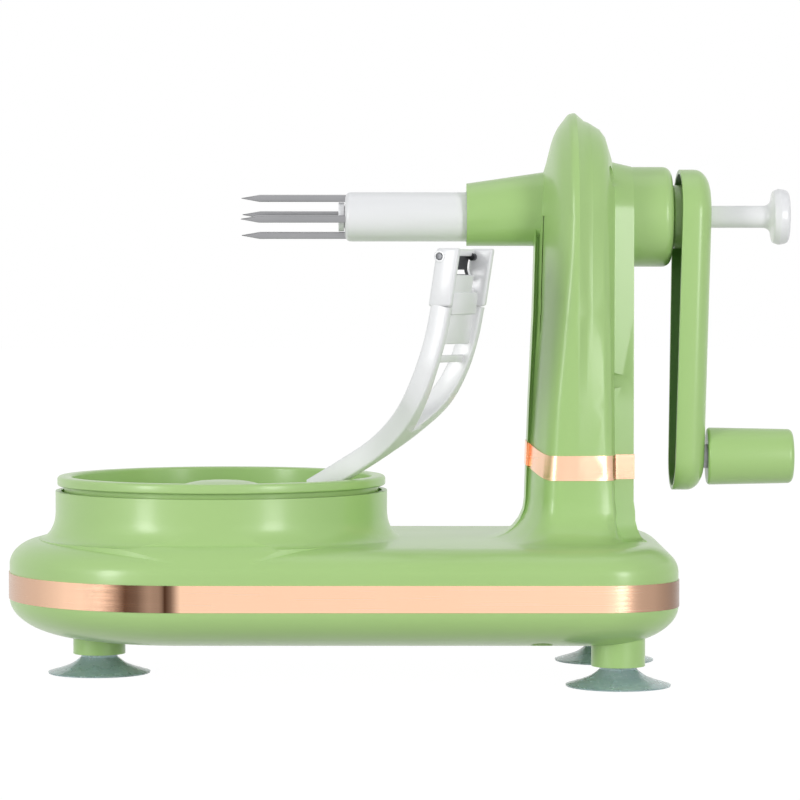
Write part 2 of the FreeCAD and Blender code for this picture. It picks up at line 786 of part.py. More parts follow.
def link_plan(top_radius, end_radius, depth):
    """A plate along X, two rounds joined by their tangents, from the spindle's axis down."""
    span = size.crank_length
    lean = math.asin((top_radius - end_radius) / span)
    cos, sin = math.cos(lean), math.sin(lean)
    top, end = Vector(0, 0, 0), Vector(0, 0, -span)

    def rim(centre, radius, side):
        return centre + Vector(0, side * radius * cos, -radius * sin)

    tops = [rim(top, top_radius, 1), rim(top, top_radius, -1)]
    ends = [rim(end, end_radius, 1), rim(end, end_radius, -1)]
    edges = [
        Part.Arc(tops[1], Vector(0, 0, top_radius), tops[0]).toShape(),
        Part.makeLine(tops[0], ends[0]),
        Part.Arc(ends[0], Vector(0, 0, -span - end_radius), ends[1]).toShape(),
        Part.makeLine(ends[1], tops[1]),
    ]
    return Part.Face(Part.Wire(edges)).extrude(Vector(depth, 0, 0))


def make_crank():
    """The cranked arm: a rounded shell, open towards the column, with a hub and a knob boss inside."""
    depth, wall = size.crank_depth, size.wall
    outer = link_plan(size.crank_top_radius, size.crank_end_radius, depth)
    edges = [e for e in outer.Edges if abs(e.BoundBox.XMin - depth) < 1e-4]
    outer = outer.makeFillet(size.crank_round, edges)
    hollow = link_plan(size.crank_top_radius - wall, size.crank_end_radius - wall, depth - wall)
    shell = outer.cut(hollow)
    hub_start = size.rear_boss_x + size.part_gap - size.crank_x
    end = Vector(0, 0, -size.crank_length)
    hub = rod(size.hub_radius, Vector(hub_start, 0, 0), X_AXIS, depth - wall / 2 - hub_start)
    boss = rod(size.axle_radius + 2.6, end + Vector(1.5, 0, 0), X_AXIS, depth - wall / 2 - 1.5)
    rib_start = Vector(3.5, -1, 7 - size.crank_length)
    rib = Part.makeBox(depth - wall / 2 - rib_start.x, 2.0, size.crank_length - 14, rib_start)
    shell = fused([shell, hub, boss, rib])
    cuts = [
        rod(size.spindle_radius, Vector(-5, 0, 0), X_AXIS, 5 + size.spindle_socket),
        rod(size.rod_radius + size.rod_clearance, Vector(-5, 0, 0), X_AXIS, 30),
        rod(size.axle_radius, end + Vector(-5, 0, 0), X_AXIS, 30),
        rod(size.grub_radius, Vector(2.0, 0, size.spindle_radius - 1), Z_AXIS, 6.0),
    ]
    return shell.cut(cuts)


def make_tray():
    """The turning dish: a trough round a low dome, with a spindle of its own below."""
    wall, floor = size.tray_wall, size.tray_floor
    dome, top = size.dome_radius, size.dome_top
    under = floor - wall
    neck, rim, dish = size.tray_neck_radius, size.tray_radius, size.tray_dish_radius
    edge_low = size.tray_top - size.tray_edge
    hub = size.tray_hub_radius
    hub_low = size.gear_high_z + size.gear_thick
    dome_run = [(0, top), (dome * 0.35, top - 0.9), (dome * 0.62, top - 3.2), (dome * 0.86, floor + 3.6)]
    dome_run += [(dome + 1.5, floor + 0.6), (dome + 4.5, floor)]
    dish_run = [(dish - 6, floor), (dish - 2.4, floor + 0.9), (dish - 0.7, floor + 3.4), (dish, floor + 7)]
    neck_run = [(neck, floor + 6), (neck - 0.8, floor + 1.6), (neck - 2.8, under + 0.9), (neck - 6, under)]
    face = outline_face(
        dome_run,
        [dome_run[-1], dish_run[0]],
        dish_run,
        [dish_run[-1], (dish, size.tray_top - 0.8)],
        [(dish, size.tray_top - 0.8), (dish + 0.3, size.tray_top - 0.25), (dish + 1, size.tray_top)],
        [(dish + 1, size.tray_top), (rim - 0.9, size.tray_top)],
        [(rim - 0.9, size.tray_top), (rim - 0.25, size.tray_top - 0.25), (rim, size.tray_top - 0.9)],
        [(rim, size.tray_top - 0.9), (rim, edge_low)],
        [(rim, edge_low), (neck, edge_low)],
        [(neck, edge_low), neck_run[0]],
        neck_run,
        [neck_run[-1], (dome + 1, under)],
        [(dome + 1, under), (dome - 3, floor + 1.4), (dome * 0.6, top - 5.0), (hub, top - 3.2)],
        [(hub, top - 3.2), (hub, hub_low)],
        [(hub, hub_low), (0, hub_low)],
        [(0, hub_low), (0, top)],
    )
    dish_solid = Part.Solid(face.revolve(Vector(), Z_AXIS, 360).Solids[0])
    key = Part.makeBox(9, 9, size.gear_thick, Vector(-4.5, -4.5, size.gear_high_z))
    dish_solid = fused([dish_solid, key])
    return dish_solid.cut(rod(size.tray_screw_radius, Vector(0, 0, 20), Z_AXIS, 35))


def make_table_gear():
    gear = spur_gear(TABLE_TEETH, size.gear_module, size.gear_thick, size.backlash)
    gear.rotate(Vector(), Z_AXIS, 180.0 / TABLE_TEETH)
    key = Part.makeBox(9, 9, 20, Vector(-4.5, -4.5, -5))
    gear = gear.cut(key)
    groove = rod(40, Vector(0, 0, 2.2), Z_AXIS, 5).cut(rod(14, Vector(0, 0, 0), Z_AXIS, 9))
    return gear.cut(groove)


ARM_OUTSIDE = [(48, 65.6), (62.3, 73.8), (69.3, 79.1), (77.6, 85.7), (81.1, 89.9), (85.2, 96.4)]
ARM_OUTSIDE += [(90.1, 107.3), (93.0, 117.5)]
HALF_WIDTHS = [(size.arm_foot_half, 56.0), (size.arm_foot_half, 73.0), (5.1, 79.1), (8.8, 85.7)]
HALF_WIDTHS += [(10.6, 89.9), (11.8, 96.4)]


def make_arm():
    """The forked arm, built in its radial plane: x is the distance from the turntable's axis."""
    thick, half = size.arm_thick, size.arm_half_width
    hinge_r, hinge_z = size.arm_hinge_r, size.arm_hinge_z
    head_z = size.arm_head_top
    inside = []
    for n, here in enumerate(ARM_OUTSIDE):
        before = ARM_OUTSIDE[max(n - 1, 0)]
        after = ARM_OUTSIDE[min(n + 1, len(ARM_OUTSIDE) - 1)]
        along = unit(after[0] - before[0], after[1] - before[1])
        inside.append((here[0] - along[1] * thick * 0.9, here[1] + along[0] * thick * 0.9))
    inside = [(p[0], p[1]) for p in inside if p[1] < head_z - 1]
    outer_head, inner_head = size.cheek_outer_r, size.cheek_inner_r
    eye = 3.8
    outer_run = [(hinge_r + 1.5, hinge_z - eye + 0.2)] + ARM_OUTSIDE + [(outer_head - 2.0, head_z)]
    inner_run = [(inner_head - 1.2, head_z)] + inside[::-1] + [(hinge_r - 1.5, hinge_z + eye - 0.2)]
    side = outline_face(outer_run, [outer_run[-1], inner_run[0]], inner_run, [inner_run[-1], outer_run[0]])
    side.translate(Vector(0, -half - 1, 0))
    bar = side.extrude(Vector(0, 2 * half + 2, 0))
    eye_start = Vector(hinge_r, -half - 1, hinge_z)
    bar = fused([bar, rod(eye, eye_start, Y_AXIS, 2 * half + 2)])
    right = [Vector(0, y, z) for y, z in HALF_WIDTHS] + [Vector(0, half, 107), Vector(0, half, head_z + 1)]
    left = [Vector(0, -v.y, v.z) for v in reversed(right)]
    width_runs = Part.BSplineCurve()
    width_runs.interpolate(right[1:])
    mirror_runs = Part.BSplineCurve()
    mirror_runs.interpolate(left[:-1])
    edges = [
        Part.makeLine(right[0], right[1]),
        width_runs.toShape(),
        Part.makeLine(right[-1], left[0]),
        mirror_runs.toShape(),
        Part.makeLine(left[-2], left[-1]),
        Part.makeLine(left[-1], right[0]),
    ]
    front = Part.Face(Part.Wire(edges))
    front = front.extrude(Vector(120, 0, 0))
    arm = bar.common(front)
    inner = half - 4.6
    slot_points = [(-inner, 109.5), (-inner, 98), (-inner + 1.2, 92.5), (0, 86.5)]
    slot_points += [(inner - 1.2, 92.5), (inner, 98), (inner, 109.5)]
    slot_spots = [Vector(0, y, z) for y, z in slot_points]
    slot = Part.Face(Part.makePolygon(slot_spots + [slot_spots[0]])).extrude(Vector(120, 0, 0))
    pin_hole = size.hinge_pin_radius + size.running_gap
    bore = rod(pin_hole, Vector(hinge_r, -half, hinge_z), Y_AXIS, 2 * half)
    arm = arm.cut([slot, bore])
    return fused([arm, head_tongue(head_z - 0.5, 5.0)])


def head_tongue(low, height):
    """The flat tongue on the arm's head that the blade's clip is pushed over."""
    half = size.arm_tongue_half
    return Part.makeBox(3.6, 2 * half, height, Vector(size.cheek_inner_r + 1.6, -half, low))


def make_blade_holder():
    """The clip on the arm's head: two cheeks, a block below and a bridge behind the blade."""
    low, top, half = size.arm_head_top, size.holder_top, size.arm_half_width
    inner, outer = size.cheek_inner_r, size.cheek_outer_r
    block = Part.makeBox(outer - inner, 2 * half, top - low, Vector(inner, -half, low))
    upright = [e for e in block.Edges if e.BoundBox.ZLength > 5 and e.BoundBox.XMax > outer - 1e-3]
    block = block.makeFillet(2.2, upright)
    top_edges = [e for e in block.Edges if e.BoundBox.ZMin > top - 1e-3]
    block = block.makeFillet(0.8, top_edges)
    room = half - size.cheek_thick
    floor_z = 129.0
    back_r = 93.6
    space = Part.makeBox(back_r - inner + 5, 2 * room, 40, Vector(inner - 5, -room, floor_z))
    pins = rod(size.blade_pin_radius + size.running_gap, blade_pivot(-half - 1), Y_AXIS, 2 * half + 2)
    return block.cut([space, head_tongue(low, 4.5), pins])


def blade_pivot(y):
    return Vector(size.blade_pivot_r, y, size.blade_pivot_z)


def make_blade():
    """A swivelling steel blade with a long slot, on two stub pins."""
    room = size.arm_half_width - size.cheek_thick - size.blade_side_gap
    r, z = size.blade_pivot_r, size.blade_pivot_z
    hub = rod(1.9, Vector(r, -room, z), Y_AXIS, 2 * room)
    face = outline_face(
        [(r - 0.6, z), (r - 1.5, z - 2.6), (r - 1.5, z - 5.2), (r - 0.3, z - 7.9)],
        [(r - 0.3, z - 7.9), (r + 0.4, z - 7.4)],
        [(r + 0.4, z - 7.4), (r - 0.6, z - 5.0), (r - 0.6, z - 2.6), (r + 0.4, z)],
        [(r + 0.4, z), (r - 0.6, z)],
    )
    face.translate(Vector(0, -room, 0))
    plate = face.extrude(Vector(0, 2 * room, 0))
    slot = Part.makeBox(6, 2 * room - 5, 1.5, Vector(r - 4, 2.5 - room, z - 4.9))
    pin_end = size.arm_half_width - 0.4
    pins = rod(size.blade_pin_radius, Vector(r, -pin_end, z), Y_AXIS, 2 * pin_end)
    return fused([fused([hub, plate]).cut(slot), pins])


def make_bracket():
    """The arm's two lugs on their plate, standing in the trough of the tray."""
    floor = size.tray_floor
    r, z = size.arm_hinge_r, size.arm_hinge_z
    plate = Part.makeBox(12.3, 15, 1.6, Vector(r - 6.5, -7.5, floor))
    gap = size.arm_foot_half + size.part_gap
    solids = [plate]
    for start in (gap, -gap - 2.6):
        foot = Part.makeBox(8, 2.6, z - floor, Vector(r - 4, start, floor))
        solids += [foot, rod(4, Vector(r, start, z), Y_AXIS, 2.6)]
    bracket = fused(solids)
    return bracket.cut(rod(size.hinge_pin_radius, Vector(r, -10, z), Y_AXIS, 20))


def make_arm_spring():
    """The coil that presses the arm inwards, round the hinge pin beside the lug."""
    coil = Part.makeHelix(1.0, 4.0, 2.6)
    ring = Part.Wire(Part.makeCircle(0.4, Vector(2.6, 0, 0), Y_AXIS))
    spring = Part.Wire(coil).makePipeShell([ring], True, True)
    spring.rotate(Vector(), X_AXIS, -90)
    spring.translate(Vector(size.arm_hinge_r, 5.9, size.arm_hinge_z))
    return spring


def arm_place():
    return Placement(Vector(size.turntable_x, 0, 0), Rotation(Z_AXIS, size.arm_azimuth))


# ---------------------------------------------------------------- the pieces


def screw_shape(length, start, direction):
    """A pan-head screw: start is the tip of its shank, direction runs towards the head."""
    shank = rod(size.screw_radius, start, direction, length)
    head = rod(size.screw_head_radius, start + direction * length, direction, size.screw_head_thick)
    recess = rod(1.3, start + direction * (length + 0.8), direction, 3)
    return fused([shank, head]).cut(recess)


def build_base():
    direct("base_lower_shell", make_lower_shell())
    direct("base_upper_shell", make_upper_shell())
    ring = slab([[(-size.band_proud, size.band_low), (-size.band_proud, size.band_high)]])
    hollow = slab([[(size.wall, size.band_low - 1), (size.wall, size.band_high + 1)]])
    direct("base_band", ring.cut(hollow))
    cup = [
        ("cup_radius", "0"),
        ("cup_radius", "0.9"),
        ("cup_radius - 5", "2.1"),
        ("cup_neck_radius + 2.2", "cup_height - 3.2"),
        ("cup_neck_radius", "cup_height - 1.4"),
        ("cup_neck_radius", "cup_height"),
        ("cup_plug_radius", "cup_height"),
        ("cup_plug_radius", "cup_height + 6.8"),
        ("0", "cup_height + 6.8"),
        ("0", "cup_height - 3.8"),
        ("cup_neck_radius", "cup_height - 4.4"),
        ("cup_radius - 1.5", "0"),
    ]
    for label, (x, y) in CUPS.items():
        turned(label, cup, (x, y, "0"))
    screw_tip = size.base_screw_seat + size.base_screw_length
    direct(
        "base_screws",
        Part.makeCompound(
            [
                screw_shape(size.base_screw_length, Vector(x, y, screw_tip), -Z_AXIS)
                for x, y in BASE_SCREWS
            ]
        ),
    )


def build_column():
    front, rear = make_column_shells()
    direct("column_front_shell", front)
    direct("column_rear_shell", rear)
    direct("column_band", make_column_band())
    tip = size.column_screw_tip
    length = size.column_screw_seat - tip
    screws = [screw_shape(length, Vector(tip, y, z), X_AXIS) for y, z in COLUMN_SCREWS]
    direct("column_screws", Part.makeCompound(screws))
    bore = "spindle_radius + running_gap"
    wall = "spindle_radius + bush_wall"
    for label, start, length in (
        ("spindle_front_bush", "front_bush_x", "front_bush_end - front_bush_x"),
        ("spindle_rear_bush", "rear_bush_x", "rear_boss_x - 0.1 - rear_bush_x"),
    ):
        section = [(bore, "0"), (wall, "0"), (wall, length), (bore, length)]
        turned(label, section, (start, "0", "spindle_z"), ALONG_X)
    bore, wall = "shaft_radius + running_gap", "shaft_radius + bush_wall"
    long = "2 * shaft_bearing_half"
    section = [(bore, "0"), (wall, "0"), (wall, long), (bore, long)]
    turned("shaft_upper_bush", section, ("shaft_x", "0", "shaft_bearing_z - shaft_bearing_half"))
    wall = "shaft_radius + bush_wall / 2"
    section = [(bore, "0"), (wall, "0"), (wall, "3"), (bore, "3")]
    turned("shaft_lower_bush", section, ("shaft_x", "0", "base_floor + 1.1"))


def build_gear_train():
    for label, x in (("first_gear_pin", "first_gear_x"), ("second_gear_pin", "second_gear_x")):
        top = "gear_pin_top - base_floor - 1.3"
        section = [("0", "0"), ("pin_radius", "0"), ("pin_radius", top), ("0", top)]
        turned(label, section, (x, "0", "base_floor + 1.1"))
    low, mid, high = size.gear_low_z, size.gear_mid_z, size.gear_high_z
    first = compound_gear(FIRST_LARGE, FIRST_SMALL, low, mid)
    direct("first_compound_gear", first, Placement(Vector(size.first_gear_x, 0, low), UPRIGHT))
    second = compound_gear(SECOND_LARGE, SECOND_SMALL, mid, high)
    direct("second_compound_gear", second, Placement(Vector(size.second_gear_x, 0, mid), UPRIGHT))
    top = "spindle_z - base_floor - 9.3"
    section = [("0", "0"), ("shaft_radius", "0"), ("shaft_radius", top), ("0", top)]
    turned("vertical_shaft", section, ("shaft_x", "0", "base_floor + 1.3"))
    pinion = spur_gear(SHAFT_TEETH, size.gear_module, size.gear_thick, size.backlash)
    pinion = pinion.cut(rod(size.shaft_radius, Vector(0, 0, -1), Z_AXIS, 20))
    direct("shaft_pinion", pinion, Placement(Vector(size.shaft_x, 0, low), UPRIGHT))
    for label, bore, spot, rotation, turn in (
        ("shaft_bevel_gear", size.shaft_radius, size.shaft_x, UPSIDE_DOWN, 180.0 / BEVEL_TEETH),
        ("spindle_bevel_gear", size.spindle_radius, size.shaft_x, ALONG_X, 0.0),
    ):
        gear = bevel_gear(BEVEL_TEETH, bore)
        own_turn = Rotation(Z_AXIS, turn)
        direct(label, gear, Placement(Vector(spot, 0, size.spindle_z), rotation * own_turn))


def build_spindle():
    fork = make_fork()
    direct("fork_prongs", fork)
    direct("fork_holder", make_holder(fork))
    bore = "rod_radius + rod_clearance"
    length = "crank_x + spindle_socket - spindle_start_x"
    section = [(bore, "0"), ("spindle_radius", "0"), ("spindle_radius", length), (bore, length)]
    turned("spindle", section, ("spindle_start_x", "0", "spindle_z"), ALONG_X)
    direct("crank_arm", make_crank(), Placement(Vector(size.crank_x, 0, size.spindle_z), UPRIGHT))
    section = [("0", "0"), ("grub_radius", "0"), ("grub_radius", "4.2"), ("0", "4.2")]
    turned("crank_grub_screw", section, ("crank_x + 2", "0", "spindle_z + spindle_radius"))
    start = "crank_x + crank_depth + knob_gap"
    knob_z = "spindle_z - crank_length"
    bore = "axle_radius + running_gap"
    section = [
        (bore, "0"),
        ("knob_radius", "0"),
        ("knob_end_radius", "knob_length"),
        ("0", "knob_length"),
        ("0", "knob_length - 5"),
        ("axle_radius + 1.8", "knob_length - 5"),
        ("axle_radius + 1.8", "knob_length - 9.5"),
        (bore, "knob_length - 9.5"),
    ]
    rounds = [("knob_end_radius", "knob_length", "1.7"), ("knob_radius", "0", "0.8")]
    turned("crank_knob", section, (start, "0", knob_z), ALONG_X, rounds)
    neck = "crank_depth - 1.5 + knob_gap + knob_length - 9.2"
    section = [
        ("0", "0"),
        ("axle_radius", "0"),
        ("axle_radius", neck),
        ("axle_radius + 1.5", neck),
        ("axle_radius + 1.5", neck + " + 3.4"),
        ("0", neck + " + 3.4"),
    ]
    turned("knob_axle", section, ("crank_x + 1.5", "0", knob_z), ALONG_X)
    tip = "holder_front_x - part_gap"
    reach = "rod_end_x - holder_front_x + part_gap"
    section = [
        ("0", "0"),
        ("rod_radius", "0"),
        ("rod_radius", reach),
        ("button_radius", reach),
        ("button_radius", reach + " + button_thick"),
        ("0", reach + " + button_thick"),
    ]
    end = reach + " + button_thick"
    rounds = [("rod_radius", reach, "2.4"), ("button_radius", end, "2.2"), ("button_radius", reach, "1.2")]
    turned("push_rod", section, (tip, "0", "spindle_z"), ALONG_X, rounds)
    section = [("0", "0"), ("4.8", "0"), ("4.8", "1.8"), ("0", "1.8")]
    turned("ejector_plate", section, (tip, "0", "spindle_z"), BACK_ALONG_X)


def build_turntable():
    table = Placement(Vector(size.turntable_x, 0, 0), UPRIGHT)
    direct("tray", make_tray(), table)
    gear_spot = Vector(size.turntable_x, 0, size.gear_high_z)
    direct("turntable_gear", make_table_gear(), Placement(gear_spot, UPRIGHT))
    bore = "tray_hub_radius + running_gap"
    wall, flange = "tray_hub_radius + 3", "dome_radius + 5"
    rise, top = "deck_top - 39.5", "tray_floor - tray_wall - part_gap - 39.5"
    section = [(bore, "0"), (wall, "0"), (wall, rise), (flange, rise), (flange, top), (bore, top)]
    turned("turntable_bush", section, ("turntable_x", "0", "39.5"))
    bore = "tray_screw_radius"
    section = [(bore, "0"), ("8", "0"), ("8", "1"), (bore, "1")]
    turned("turntable_washer", section, ("turntable_x", "0", "gear_high_z - 1"))
    head, shank = "2 * tray_screw_radius", "tray_screw_radius"
    section = [("0", "0"), (head, "0"), (head, "3"), (shank, "3"), (shank, "23"), ("0", "23")]
    turned("turntable_screw", section, ("turntable_x", "0", "gear_high_z - 4"))
    direct("arm_bracket", make_bracket(), arm_place())


def build_arm():
    direct("peeler_arm", make_arm(), arm_place())
    direct("blade_holder", make_blade_holder(), arm_place())
    direct("blade", make_blade(), arm_place())
    spot = arm_place()
    pin = rod(size.hinge_pin_radius, Vector(size.arm_hinge_r, -6.6, size.arm_hinge_z), Y_AXIS, 15.0)
    direct("arm_hinge_pin", pin, spot)
    direct("arm_spring", make_arm_spring(), spot)


build_base()
build_column()
build_gear_train()
build_spindle()
build_turntable()
build_arm()
doc.recompute()

for thing in doc.Objects:
    if "Invalid" in thing.State or "Error" in thing.State:
        raise RuntimeError(f"{thing.Label} failed: {thing.State}")
os.makedirs("parts", exist_ok=True)
for node in nodes:
    if node.Shape.isNull() or not node.Shape.isValid():
        raise RuntimeError(f"{node.Label} has no sound shape")
for node in nodes:
    node.Shape.exportStep(f"parts/{node.Label}.step")
    box = node.Shape.BoundBox
    print(
        f"{node.Label:24s} solids {len(node.Shape.Solids)} volume {node.Shape.Volume:9.0f}",
        f"x {box.XMin:7.1f} {box.XMax:7.1f} y {box.YMin:6.1f} {box.YMax:6.1f} z {box.ZMin:6.1f} {box.ZMax:6.1f}",
    )
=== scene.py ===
"""The looks of a hand-cranked apple peeler and corer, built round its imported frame."""

import json
import math

import bmesh
import bpy
from mathutils import Matrix, Vector


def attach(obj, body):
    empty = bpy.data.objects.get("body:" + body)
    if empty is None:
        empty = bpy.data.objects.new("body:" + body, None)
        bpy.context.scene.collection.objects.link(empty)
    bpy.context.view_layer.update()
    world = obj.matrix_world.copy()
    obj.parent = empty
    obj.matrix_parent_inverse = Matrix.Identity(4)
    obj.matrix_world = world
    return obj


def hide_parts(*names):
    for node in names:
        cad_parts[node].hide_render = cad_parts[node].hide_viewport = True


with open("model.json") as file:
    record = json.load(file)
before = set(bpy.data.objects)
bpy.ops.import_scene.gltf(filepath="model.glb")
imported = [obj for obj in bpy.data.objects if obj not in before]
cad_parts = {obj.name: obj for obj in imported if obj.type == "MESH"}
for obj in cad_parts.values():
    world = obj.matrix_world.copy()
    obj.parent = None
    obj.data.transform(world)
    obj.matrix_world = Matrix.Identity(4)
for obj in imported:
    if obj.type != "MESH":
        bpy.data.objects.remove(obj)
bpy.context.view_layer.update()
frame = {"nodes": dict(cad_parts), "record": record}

MM = 0.001


# ------------------------------------------------------------------ shader maths


class Value:
    """A number socket of a finish, so that shader maths reads as arithmetic."""

    def __init__(self, finish, socket):
        self.finish = finish
        self.socket = socket

    def __add__(self, other):
        return self.finish.maths("ADD", self, other)

    def __sub__(self, other):
        return self.finish.maths("SUBTRACT", self, other)

    def __rsub__(self, other):
        return self.finish.maths("SUBTRACT", other, self)

    def __mul__(self, other):
        return self.finish.maths("MULTIPLY", self, other)

    def __pow__(self, other):
        return self.finish.maths("POWER", self, other)

    __radd__ = __add__
    __rmul__ = __mul__


class Finish:
    """A material under construction: one Principled shader and the nodes that feed it."""

    def __init__(self, name, **constants):
        self.material = bpy.data.materials.new(name)
        self.material.use_nodes = True
        self.tree = self.material.node_tree
        self.shader = self.tree.nodes["Principled BSDF"]
        for socket, value in constants.items():
            self.shader.inputs[socket.replace("_", " ")].default_value = value

    def node(self, kind, settings=None, **inputs):
        """Adds a node: its settings first, then values or links for its sockets, by name or number."""
        made = self.tree.nodes.new("ShaderNode" + kind)
        for key, value in (settings or {}).items():
            if key == "stops":
                ramp = made.color_ramp
                while len(ramp.elements) < len(value):
                    ramp.elements.new(1.0)
                for element, (place, colour) in zip(ramp.elements, value):
                    element.position = place
                    element.color = colour
            else:
                setattr(made, key, value)
        for key, value in inputs.items():
            socket = made.inputs[int(key[1:])] if key[1:].isdigit() else made.inputs[key.replace("_", " ")]
            self.feed(socket, value)
        return made

    def feed(self, socket, value):
        if isinstance(value, Value):
            self.tree.links.new(value.socket, socket)
        elif isinstance(value, bpy.types.NodeSocket):
            self.tree.links.new(value, socket)
        else:
            socket.default_value = value

    def maths(self, operation, first, second):
        made = self.node("Math", {"operation": operation}, i0=first, i1=second)
        return Value(self, made.outputs[0])

    def value(self, node, output=0):
        return Value(self, node.outputs[output])

    def place(self, scale=(1, 1, 1), turn=(0, 0, 0)):
        """Object coordinates, stretched and turned."""
        coordinates = self.node("TexCoord")
        mapping = self.node("Mapping", Vector=coordinates.outputs["Object"], Scale=scale, Rotation=turn)
        return mapping.outputs[0]

    def noise(self, scale, detail=3.0, where=None, roughness=0.5):
        made = self.node("TexNoise", Vector=where or self.place(), Scale=scale, Detail=detail, Roughness=roughness)
        return self.value(made)

    def mix(self, factor, first, second):
        """A colour between two colours."""
        made = self.node("Mix", {"data_type": "RGBA"}, i0=factor, i6=first, i7=second)
        return made.outputs[2]

    def ramp(self, factor, *stops):
        made = self.node("ValToRGB", {"stops": stops}, Fac=factor)
        return made.outputs[0]

    def use(self, **links):
        for socket, value in links.items():
            self.feed(self.shader.inputs[socket.replace("_", " ")], value)

    def bump(self, height, distance, strength=1.0):
        made = self.node("Bump", Height=height, Distance=distance, Strength=strength)
        self.use(Normal=made.outputs[0])


def shade(red, green, blue):
    """A colour from its display values, 0 to 255."""
    return tuple((c / 255) ** 2.2 for c in (red, green, blue)) + (1.0,)


def moulded(name, colour, deep, roughness, grain=0.00003, coat=0.5):
    """Satin moulded plastic: even colour, faint flow marks, and a fine orange-peel skin."""
    finish = Finish(name, IOR=1.5, Coat_Weight=coat, Coat_Roughness=0.2, Specular_IOR_Level=0.4)
    flow = finish.noise(9.0, 2.0, finish.place((1, 1, 0.35)))
    skin = finish.noise(700.0, 2.0)
    wear = finish.noise(60.0, 4.0)
    finish.use(Base_Color=finish.mix(flow * 0.9, colour, deep), Roughness=roughness + wear * 0.08 + skin * 0.03)
    finish.bump(skin, grain)
    return finish.material


def metal(name, colour, dark, roughness, brush=(1, 1, 1), bump=0.00002, painted_reflection=()):
    """Metal with fine brush marks along the axis whose scale is least; with stops given, dark reflection streaks are
    painted into its colour along X.
    """
    finish = Finish(name, Metallic=1.0)
    marks = finish.noise(900.0, 3.0, finish.place(brush))
    cloud = finish.noise(40.0, 3.0)
    tone = finish.mix(cloud * 0.7, colour, dark)
    if painted_reflection:
        # painted reflection: brown and dark streaks of reflected surroundings, painted into the colour along X
        along = finish.value(finish.node("SeparateXYZ", Vector=finish.place()))
        tone = finish.mix(finish.ramp(along * 4 + 0.6, *painted_reflection), tone, shade(70, 44, 30))
    finish.use(Base_Color=tone, Roughness=roughness + marks * 0.12)
    finish.bump(marks, bump)
    return finish.material


def cup_skin():
    """Clear soft vinyl with a blue-grey tint and tiny bright flecks."""
    finish = Finish("cup_vinyl", Roughness=0.22, IOR=1.45, Transmission_Weight=0.45, Coat_Weight=0.3)
    fleck = finish.noise(1500.0, 1.0)
    cloud = finish.noise(120.0, 3.0)
    tint = finish.mix(cloud, shade(176, 204, 210), shade(198, 220, 216))
    bright = finish.ramp(fleck, (0.0, (0, 0, 0, 1)), (0.62, (0, 0, 0, 1)), (0.7, (1, 1, 1, 1)))
    finish.use(Base_Color=finish.mix(bright, tint, shade(222, 236, 240)), Roughness=0.2 + cloud * 0.15)
    finish.bump(fleck, 0.00005)
    return finish.material


# Stops of painted reflection along the copper bands: dark streaks near the left end and at the right end that stand in
# for reflected dark surroundings.
COPPER_PAINTED_REFLECTION = [
    (at, (much, much, much, 1.0))
    for at, much in ((0.0, 0.7), (0.13, 0.3), (0.17, 0.05), (0.19, 0.1), (0.225, 0.72), (0.25, 0.97))
    + ((0.265, 0.9), (0.28, 0.66), (0.295, 0.72), (0.301, 1.0), (0.31, 0.8), (0.32, 0.0))
    + ((0.865, 0.0), (0.885, 0.5), (0.92, 0.55), (0.945, 0.75))
]
GREEN, GREEN_DEEP = shade(172, 207, 132), shade(163, 200, 121)
FINISHES = {
    "body_green": moulded("green_satin", GREEN, GREEN_DEEP, 0.36),
    # the copper bands carry painted reflection streaks along X
    "band_copper": metal("copper_satin", shade(255, 211, 180), shade(252, 203, 168), 0.2, (0.02, 0.02, 1), painted_reflection=COPPER_PAINTED_REFLECTION),
    "white_plastic": moulded("white_gloss", shade(241, 241, 241), shade(236, 236, 237), 0.3),
    "gear_plastic": moulded("acetal", shade(226, 224, 214), shade(214, 212, 200), 0.4, coat=0.0),
    "cup_rubber": cup_skin(),
    "steel": metal("steel_brushed", shade(168, 168, 170), shade(140, 141, 144), 0.26, (0.03, 1, 1)),
    "screw_steel": metal("zinc_plate", shade(196, 196, 198), shade(176, 177, 182), 0.3),
    "bush_brass": metal("turned_brass", shade(222, 188, 118), shade(206, 168, 98), 0.25),
    "bush_plastic": moulded("collar_acetal", shade(214, 213, 205), shade(204, 202, 192), 0.42, coat=0.0),
}


def finish_nodes():
    """Every CAD node gets its slot's finish."""
    for part in frame["record"]["subparts"]:
        node = frame["nodes"][part["node"]]
        node.data.materials.clear()
        node.data.materials.append(FINISHES[part["material_slot"]])


# ------------------------------------------------------------------ modelling


def rounded(corners, steps=5):
    """An outline with its corners rounded: each corner is (across, along) or (across, along, radius)."""
    points = []
    for n, corner in enumerate(corners):
        here = Vector(corner[:2])
        if len(corner) == 2:
            points.append(here)
            continue
        before = (Vector(corners[n - 1][:2]) - here).normalized()
        after = (Vector(corners[(n + 1) % len(corners)][:2]) - here).normalized()
        half = before.angle(after) / 2
        centre = here + (before + after).normalized() * corner[2] / math.sin(half)
        reach = corner[2] / math.tan(half)
        first, last = here + before * reach - centre, here + after * reach - centre
        sweep = math.pi - 2 * half
        for k in range(steps + 1):
            share = k / steps
            turn = first * math.sin((1 - share) * sweep) + last * math.sin(share * sweep)
            points.append(centre + turn / math.sin(sweep))
    return points


def curve_through(points, steps=6):
    """A smooth run through points, as more points."""
    vectors = [Vector(p) for p in points]
    ends = [2 * vectors[0] - vectors[1]] + vectors + [2 * vectors[-1] - vectors[-2]]
    run = []
    for a, b, c, d in zip(ends, ends[1:], ends[2:], ends[3:]):
        for k in range(steps):
            t = k / steps
            run.append(
                0.5 * (2 * b + (c - a) * t + (2 * a - 5 * b + 4 * c - d) * t**2 + (3 * b - a - 3 * c + d) * t**3)
            )
    return run + [vectors[-1]]


